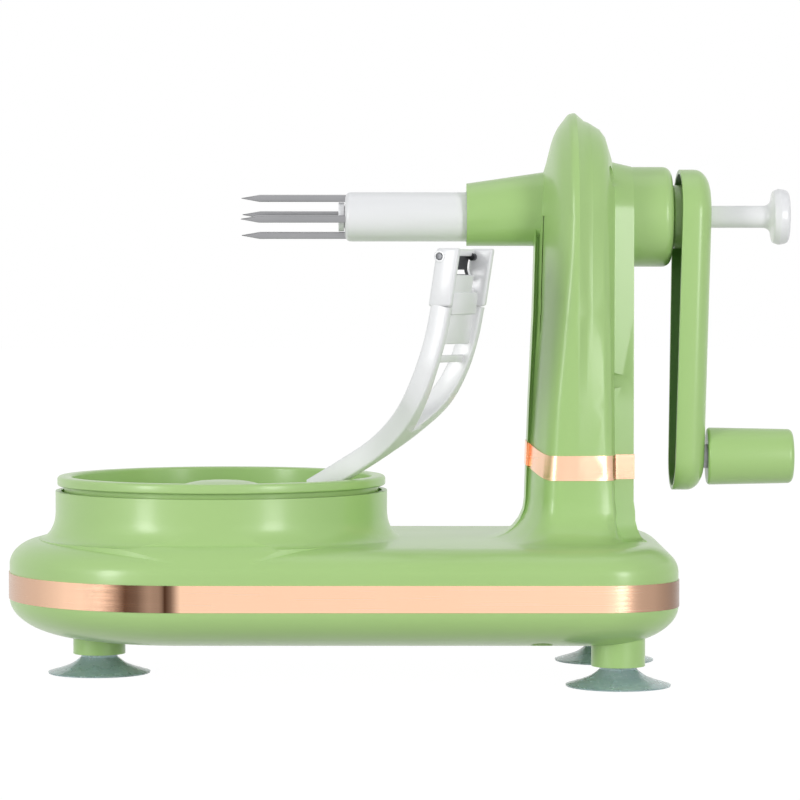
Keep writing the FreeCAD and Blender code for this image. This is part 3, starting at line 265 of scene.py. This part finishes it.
def lathe(bm, outline, centre, axis=(0, 0, 1), closed=True, steps=128):
    """Spins an outline of (radius, along) round an axis through centre."""
    axis, centre = Vector(axis), Vector(centre)
    side = axis.orthogonal().normalized()
    verts = [bm.verts.new(centre + axis * along + side * across) for across, along in outline]
    pairs = zip(verts, verts[1:] + verts[:1]) if closed else zip(verts, verts[1:])
    edges = [bm.edges.new(pair) for pair in pairs]
    bmesh.ops.spin(
        bm, geom=verts + edges, cent=centre, axis=axis, angle=math.tau, steps=steps, use_merge=True
    )
    bmesh.ops.remove_doubles(bm, verts=bm.verts, dist=1e-4)


def block(bm, low, high, rounding=0.0, segments=3, shear=0.0, level=0.0):
    """A box with rounded edges, leaning along X as it rises from level."""
    made = bmesh.ops.create_cube(bm, size=1.0)["verts"]
    low, high = Vector(low), Vector(high)
    for vert in made:
        vert.co = Vector(low[i] + (vert.co[i] + 0.5) * (high[i] - low[i]) for i in range(3))
        vert.co.x += (vert.co.z - level) * shear
    if rounding:
        edges = list({edge for vert in made for edge in vert.link_edges})
        bmesh.ops.bevel(
            bm, geom=edges, offset=rounding, segments=segments, profile=0.5, affect="EDGES", material=-1
        )


def loft(bm, rings, closed=True):
    """Skins a run of rings, each a list of spots. Returns the strips of faces between them."""
    made = [[bm.verts.new(spot) for spot in ring] for ring in rings]
    strips = []
    for low, high in zip(made, made[1:]):
        count = len(low)
        sides = range(count if closed else count - 1)
        strips.append([bm.faces.new((low[k], low[(k + 1) % count], high[(k + 1) % count], high[k])) for k in sides])
    return made, strips


def soften(bm, edges, offset, segments=3):
    bmesh.ops.bevel(
        bm, geom=list(edges), offset=offset, segments=segments, profile=0.5, affect="EDGES", material=-1
    )


def shade_smooth(bm, limit=32.0):
    for face in bm.faces:
        face.smooth = True
    for edge in bm.edges:
        edge.smooth = edge.is_manifold and edge.calc_face_angle(0.0) < math.radians(limit)


def settle(bm, name, body, slot, stands_for=(), place=None, limit=32.0, scale=MM, finish=None):
    """Turns a mesh in millimetres into a piece that rides a body and stands for CAD nodes."""
    if place:
        bmesh.ops.transform(bm, matrix=place, verts=bm.verts)
    bmesh.ops.scale(bm, vec=(scale, scale, scale), verts=bm.verts)
    bmesh.ops.recalc_face_normals(bm, faces=bm.faces)
    shade_smooth(bm, limit)
    mesh = bpy.data.meshes.new(name)
    bm.to_mesh(mesh)
    bm.free()
    made = bpy.data.objects.new(name, mesh)
    bpy.context.scene.collection.objects.link(made)
    for material in finish or [FINISHES[slot]]:
        mesh.materials.append(material)
    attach(made, body)
    for node in stands_for:
        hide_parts(node)
    return made


def refined(node, body, slot, limit=32.0):
    """A welded, smoothly shaded copy of a CAD node."""
    bm = bmesh.new()
    bm.from_mesh(frame["nodes"][node].data)
    bmesh.ops.remove_doubles(bm, verts=bm.verts, dist=2e-6)
    return settle(bm, node + "_skin", body, slot, [node], limit=limit, scale=1.0)


# ------------------------------------------------------------------ the pieces

TABLE = (-60.0, 0.0, 0.0)
SPINDLE_Z = 152.1
ARM_PLACE = Matrix.Translation(TABLE) @ Matrix.Rotation(math.radians(-30), 4, "Z")


def tray():
    bm = bmesh.new()
    dome = curve_through([(0, 64.5), (9, 63.9), (16, 61.6), (22, 57.3), (27, 53.9), (31.5, 53.0)], 8)
    outline = dome + rounded(
        [
            (50.2, 53.0, 6.0),
            (50.0, 66.1, 0.9),
            (54.6, 66.1, 1.1),
            (54.6, 62.9, 0.7),
            (52.3, 62.9, 0.3),
            (52.2, 51.0, 5.0),
            (27.0, 51.0, 2.0),
            (21.0, 56.0, 3.0),
            (9.0, 61.3, 1.0),
            (9.0, 36.0, 0.5),
            (0.0, 36.0),
        ],
        6,
    )
    lathe(bm, outline, TABLE, closed=False, steps=192)
    settle(bm, "tray_dish", "turntable", "body_green", ["tray"], limit=40)


def cups():
    spots = {"left": (-101, 0), "right_front": (70, -37), "right_rear": (70, 37)}
    upper = curve_through([(17.0, 0.45), (15.2, 1.0), (12.2, 1.9), (9.2, 3.1), (7.0, 4.6), (6.0, 5.5)], 5)
    under = curve_through([(5.0, 2.6), (9.0, 1.7), (13.0, 0.8), (16.4, 0.05)], 5)
    for key, (x, y) in spots.items():
        bm = bmesh.new()
        outline = upper + rounded([(6.6, 5.7, 0.3), (6.6, 6.5, 0.2), (4.0, 6.5), (4.0, 13.2, 0.6), (0, 13.2)])
        lathe(bm, [(0, 2.9)] + under + [(16.9, 0.0)] + outline, (x, y, 0), closed=False, steps=128)
        settle(bm, f"cup_{key}", "root", "cup_rubber", [f"suction_cup_{key}"], limit=50)


def knob():
    bm = bmesh.new()
    outline = rounded(
        [
            (4.05, -0.7, 0.3),
            (9.55, -0.7, 1.0),
            (9.0, 27.8, 1.7),
            (3.2, 27.8, 0.8),
            (2.6, 27.0, 0.6),
            (0.0, 27.0),
        ],
        6,
    )
    outline += [Vector((0.0, 22.8)), Vector((5.8, 22.8)), Vector((5.8, 18.3)), Vector((4.05, 18.3))]
    lathe(bm, outline, (102.5, 0, SPINDLE_Z - 79.7), (1, 0, 0), steps=128)
    settle(bm, "knob_handle", "knob", "body_green", ["crank_knob"], limit=40)


def push_rod():
    bm = bmesh.new()
    outline = rounded(
        [
            (0.0, -0.3),
            (3.67, -0.3),
            (3.67, 141.2, 2.6),
            (8.6, 142.2, 0.9),
            (9.35, 144.3, 1.2),
            (8.7, 147.5, 1.6),
            (0.0, 148.0),
        ],
        7,
    )
    lathe(bm, outline, (-18.8, 0, SPINDLE_Z), (1, 0, 0), closed=False)
    settle(bm, "rod_and_button", "ejector", "white_plastic", ["push_rod"], limit=40)


def fork_holder():
    """The white sleeve: round mouth, a shallow step where the spindle's socket ends."""
    bm = bmesh.new()
    outline = rounded(
        [
            (3.75, 0.0, 0.4),
            (8.2, 0.0, 1.9),
            (8.2, 43.0, 0.3),
            (6.0, 43.0, 0.2),
            (6.0, 20.8),
            (3.75, 20.8),
        ],
        6,
    )
    lathe(bm, outline, (-18.8, 0, SPINDLE_Z), (1, 0, 0), steps=128)
    settle(bm, "fork_sleeve", "crank", "white_plastic", ["fork_holder"], limit=40)


def prongs():
    """Four stamped prongs, bevelled to a point on both faces."""
    bm = bmesh.new()
    for n in range(4):
        part = bmesh.new()
        block(part, (-47.2, -1.1, -1.1), (-11.8, 1.1, 1.1))
        tip = [f for f in part.faces if f.normal.x < -0.9]
        grown = bmesh.ops.extrude_face_region(part, geom=tip)["geom"]
        verts = [v for v in grown if isinstance(v, bmesh.types.BMVert)]
        for vert in verts:
            vert.co = Vector((-53.2, vert.co.y * 0.07, vert.co.z * 0.07))
        bmesh.ops.delete(part, geom=tip, context="FACES_ONLY")
        long_edges = [e for e in part.edges if abs(e.verts[0].co.x - e.verts[1].co.x) > 3]
        soften(part, long_edges, 0.22, 2)
        turn = Matrix.Rotation(math.radians(8 + 90 * n), 4, "X")
        where = Matrix.Translation((0, 0, SPINDLE_Z)) @ turn @ Matrix.Translation((0, 0, 6.2))
        bmesh.ops.transform(part, matrix=where, verts=part.verts)
        scratch = bpy.data.meshes.new("prong")
        part.to_mesh(scratch)
        part.free()
        bm.from_mesh(scratch)
        bpy.data.meshes.remove(scratch)
    lathe(bm, [(3.9, -12.9), (7.2, -12.9), (7.2, -11.4), (3.9, -11.4)], (0, 0, SPINDLE_Z), (1, 0, 0), steps=64)
    settle(bm, "prong_set", "crank", "steel", ["fork_prongs"], limit=25)


def link_outline(top_radius, end_radius, span=79.7, steps=28):
    """Two rounds joined by their tangents, in (y, z), from the spindle's axis down."""
    lean = math.asin((top_radius - end_radius) / span)
    points = []
    for centre, radius, start, end in (
        (0.0, top_radius, -lean, math.pi + lean),
        (-span, end_radius, math.pi + lean, math.tau - lean),
    ):
        for k in range(steps + 1):
            angle = start + (end - start) * k / steps
            points.append((radius * math.cos(angle), centre + radius * math.sin(angle)))
    return points


def crank_arm():
    """A shell open towards the column, domed outside, with drafted walls, a hub, a knob boss and a rib."""
    bm = bmesh.new()
    quarter = [math.pi / 2 * k / 10 for k in range(10, -1, -1)]
    levels = [(9.8 - 5.2 * (1 - math.sin(a)), 7.0 * (1 - math.cos(a))) for a in quarter]
    outer_count = len(levels) + 2
    levels += [(-0.1, 0.0), (-0.3, 0.1), (-0.4, 0.35), (-0.4, 1.15), (-0.3, 1.4), (-0.1, 1.5)]
    levels += [(6.4, 2.3), (7.2, 2.7), (7.6, 3.6)]
    rings = [[(x, y, z) for y, z in link_outline(15.7 - inset, 11.2 - inset)] for x, inset in levels]
    made, strips = loft(bm, rings)
    bm.faces.new(made[0])
    # the inside faces take a deeper green with the shade of the hollow painted in
    inner = [face for strip in strips[outer_count + 2 :] for face in strip] + [bm.faces.new(made[-1])]
    for face in inner:
        face.material_index = 1
    block(bm, (3.5, -1, -72.7), (9.0, 1, -10.0), 0.3, 2)
    for vert in bm.verts:
        vert.co.x += 0.02 * (vert.co.z + 62) - 0.035 * vert.co.y
    hub = rounded([(6.0, -1.0), (10.5, -1.0, 0.6), (10.5, 9.0), (6.0, 9.0)])
    lathe(bm, hub, (0, 0, 0), (1, 0, 0), steps=96)
    boss = rounded([(4.0, 1.5), (6.6, 1.5, 0.5), (6.9, 9.0), (4.0, 9.0)])
    lathe(bm, boss, (0, 0, -79.7), (1, 0, 0), steps=64)
    place = Matrix.Translation((91.0, 0, SPINDLE_Z))
    skins = [FINISHES["body_green"], PAINTED_SHADE_GREEN]
    settle(bm, "crank_shell", "crank", "body_green", ["crank_arm"], place, 40, finish=skins)


ARM_OUTSIDE = [(37.5, 59.8), (50.0, 66.6), (62.0, 73.6), (72.8, 81.7), (81.4, 90.6), (87.2, 101.0)]
ARM_OUTSIDE += [(91.0, 111.6), (93.4, 122.1)]
ARM_WIDTHS = [2.3, 2.4, 3.0, 6.4, 10.6, 12.1, 12.3, 12.3]
ARM_SLOT = [0.0, 0.0, 0.0, 0.0, 5.4, 8.4, 9.1, 9.2]


def arm():
    """The forked arm in its radial plane: one bar that splits into two legs, a web and a ledge between them."""
    bm = bmesh.new()
    outside = curve_through(ARM_OUTSIDE, 7)
    widths = [v.x for v in curve_through([(w, 0) for w in ARM_WIDTHS], 7)]
    slots = [v.x if place.y > 82.0 else 0.0 for v, place in zip(curve_through([(w, 0) for w in ARM_SLOT], 7), outside)]
    rings = []
    for n, here in enumerate(outside):
        along = (outside[min(n + 1, len(outside) - 1)] - outside[max(n - 1, 0)]).normalized()
        slot, width, round_in = slots[n], widths[n], 0.7 if slots[n] > 1.0 else 0.002
        section = [(0.0, slot, round_in), (0.0, width, 0.8), (6.6, width, 0.8), (6.6, slot, round_in)]
        rings.append(
            [(here.x - along.y * p.x, p.y, here.y + along.x * p.x) for p in rounded(section, 4)]
        )
    made, strips = loft(bm, rings)
    bm.faces.new(made[0])
    bm.faces.new(made[-1])
    bmesh.ops.delete(bm, geom=[s[-1] for n, s in enumerate(strips) if slots[n + 1] == 0], context="FACES_ONLY")
    bmesh.ops.mirror(bm, geom=bm.verts[:] + bm.edges[:] + bm.faces[:], axis="Y", merge_dist=0.02)
    bmesh.ops.remove_doubles(bm, verts=bm.verts, dist=0.004)
    block(bm, (87.2, -9.3, 110.5), (90.2, 9.3, 121.9), 0.5, 2, 0.16, 116)
    block(bm, (84.8, -8.9, 104.6), (87.4, 8.9, 107.0), 0.5, 2, 0.3, 106)
    block(bm, (89.2, -8.0, 120.0), (92.6, 8.0, 127.0), 0.3, 2, 0.1, 123)
    hub = rounded([(1.6, -2.3), (3.9, -2.3, 0.5), (3.9, 2.3, 0.5), (1.6, 2.3)])
    lathe(bm, hub, (38.0, 0, 60.0), (0, 1, 0), steps=64)
    settle(bm, "arm_fork", "arm", "white_plastic", ["peeler_arm"], ARM_PLACE, 35)


LEAN, LEAN_LEVEL = 0.17, 131.0


def clip():
    """The blade's clip: two leaning cheeks, a bridge at the top and a stop block between them."""
    bm = bmesh.new()

    def lean_block(low, high, rounding=0.6, segments=3):
        block(bm, low, high, rounding, segments, LEAN, LEAN_LEVEL)

    lean_block((87.4, -12.4, 122.6), (95.3, -10.0, 141.0), 0.8)
    lean_block((87.4, 10.0, 122.6), (95.3, 12.4, 141.0), 0.8)
    lean_block((87.6, -10.2, 138.6), (89.0, 10.2, 140.8), 0.5)
    lean_block((90.6, -10.2, 122.8), (93.4, 4.6, 132.6), 0.7)
    lean_block((88.4, -10.2, 122.8), (91.0, 10.2, 128.4), 0.5)
    lean_block((89.4, 4.2, 122.9), (92.2, 10.2, 126.6), 0.5)
    for side in (-1, 1):
        ring = rounded([(1.3, 0.0), (1.9, 0.0, 0.2), (1.9, 0.35, 0.15), (1.3, 0.35)])
        lathe(bm, ring, (90.3, side * 12.3, 138.4), (0, side, 0), steps=32)
    settle(bm, "blade_clip", "arm", "white_plastic", ["blade_holder"], ARM_PLACE, 35)


def blade():
    """A folded steel strip with a long slot between its two edges, and its pins."""
    bm = bmesh.new()
    half = 9.3
    section = curve_through([(-0.7, 0.9), (-1.7, -1.8), (-1.8, -4.6), (-0.5, -7.6)], 6)
    gap = range(11, 14)
    columns = [-half, -half + 2.2, half - 2.2, half]
    grid = [[bm.verts.new((90.3 + p.x, y, 138.4 + p.y)) for y in columns] for p in section]
    for n in range(len(section) - 1):
        for k in range(3):
            if k == 1 and n in gap:
                continue
            bm.faces.new((grid[n][k], grid[n][k + 1], grid[n + 1][k + 1], grid[n + 1][k]))
    bmesh.ops.solidify(bm, geom=bm.verts[:] + bm.edges[:] + bm.faces[:], thickness=0.7)
    for side in (-1, 1):
        pin = rounded([(0.0, 0.0), (1.2, 0.0), (1.2, 4.1, 0.25), (0.0, 4.1)])
        lathe(bm, pin, (90.3, side * 8.6, 138.4), (0, side, 0), closed=False, steps=32)
    # the blade wears steel with a dark reflection painted into its colour
    settle(bm, "blade_strip", "blade", "steel", ["blade"], ARM_PLACE, 35, finish=[BLADE_STEEL_PAINTED_DARK])


def shells():
    for node in ("base_upper_shell", "base_lower_shell", "column_front_shell", "column_rear_shell"):
        refined(node, "root", "body_green")
    for node in ("base_band", "column_band"):
        refined(node, "root", "band_copper", 40)


# The blade's steel is painted darker than the prongs' steel: a painted reflection of dark surroundings.
BLADE_STEEL_PAINTED_DARK = metal("steel_blade", shade(98, 99, 101), shade(76, 77, 80), 0.3, (0.03, 1, 1))
# Painted shade: a deeper green for the crank's inside faces, standing in for the shade in its hollow.
PAINTED_SHADE_GREEN = moulded("green_painted_shade", shade(96, 140, 66), shade(84, 126, 58), 0.4, coat=0.1)


# ------------------------------------------------------------------ studio


def studio():
    scene = bpy.context.scene
    scene.view_settings.view_transform = "Standard"
    world = bpy.data.worlds.new("studio")
    scene.world = world
    world.use_nodes = True
    tree = world.node_tree
    tree.nodes.clear()
    path = tree.nodes.new("ShaderNodeLightPath")
    seen = tree.nodes.new("ShaderNodeBackground")
    seen.inputs["Color"].default_value = (1, 1, 1, 1)
    glow = tree.nodes.new("ShaderNodeBackground")
    glow.inputs["Color"].default_value = (0.93, 0.96, 1.0, 1)
    glow.inputs["Strength"].default_value = 0.46
    blend = tree.nodes.new("ShaderNodeMixShader")
    output = tree.nodes.new("ShaderNodeOutputWorld")
    bright = path.outputs["Is Camera Ray"]
    for kind in ("Is Glossy Ray", "Is Transmission Ray"):
        either = tree.nodes.new("ShaderNodeMath")
        either.operation = "MAXIMUM"
        tree.links.new(bright, either.inputs[0])
        tree.links.new(path.outputs[kind], either.inputs[1])
        bright = either.outputs[0]
    tree.links.new(bright, blend.inputs[0])
    tree.links.new(glow.outputs[0], blend.inputs[1])
    tree.links.new(seen.outputs[0], blend.inputs[2])
    tree.links.new(blend.outputs[0], output.inputs[0])


def softbox(name, spot, aim, width, height, power):
    lamp = bpy.data.lights.new(name, "AREA")
    lamp.shape = "RECTANGLE"
    lamp.size, lamp.size_y = width, height
    lamp.energy = power
    lamp_object = bpy.data.objects.new(name, lamp)
    bpy.context.scene.collection.objects.link(lamp_object)
    lamp_object.location = spot
    lamp_object.rotation_euler = (Vector(aim) - Vector(spot)).to_track_quat("-Z", "Y").to_euler()
    lamp_object.visible_camera = False


def floor():
    mesh = bpy.data.meshes.new("floor")
    bm = bmesh.new()
    bmesh.ops.create_grid(bm, x_segments=1, y_segments=1, size=6.0)
    bm.to_mesh(mesh)
    bm.free()
    ground = bpy.data.objects.new("floor", mesh)
    bpy.context.scene.collection.objects.link(ground)
    finish = Finish("pale_floor", Base_Color=(0.6, 0.6, 0.6, 1), Roughness=0.6, Specular_IOR_Level=0.2)
    glow = finish.node("Emission", Color=(1, 1, 1, 1), Strength=1.045)
    path = finish.node("LightPath")
    bright = sum(Value(finish, path.outputs[f"Is {kind} Ray"]) for kind in ("Camera", "Glossy", "Transmission"))
    blend = finish.node("MixShader", i0=bright * 0.95, i1=finish.shader.outputs[0], i2=glow.outputs[0])
    output = finish.tree.nodes["Material Output"]
    finish.tree.links.new(blend.outputs[0], output.inputs[0])
    mesh.materials.append(finish.material)


def camera():
    """At table height, looking level along +Y and a little down."""
    lens = bpy.data.cameras.new("camera")
    lens.sensor_width = 36.0
    lens.lens = 148.5
    eye = Vector((-0.0005, -1.1, 0.1278))
    target = Vector((-0.0005, 0.0, 0.0911))
    shown = bpy.data.objects.new("camera", lens)
    bpy.context.scene.collection.objects.link(shown)
    shown.location = eye
    shown.rotation_euler = (target - eye).to_track_quat("-Z", "Y").to_euler()
    bpy.context.scene.camera = shown


camera()
studio()
floor()
softbox("left_strip", (-0.93, -0.75, 0.2), (-0.05, 0, 0.08), 0.24, 0.7, 6.2)
softbox("right_strip", (0.7, -0.98, 0.2), (-0.03, 0, 0.08), 0.3, 0.7, 6.6)
softbox("overhead", (0.05, 0.1, 1.2), (0, 0, 0.1), 0.8, 0.6, 1.0)
finish_nodes()
tray()
cups()
knob()
push_rod()
fork_holder()
prongs()
crank_arm()
arm()
clip()
blade()
shells()
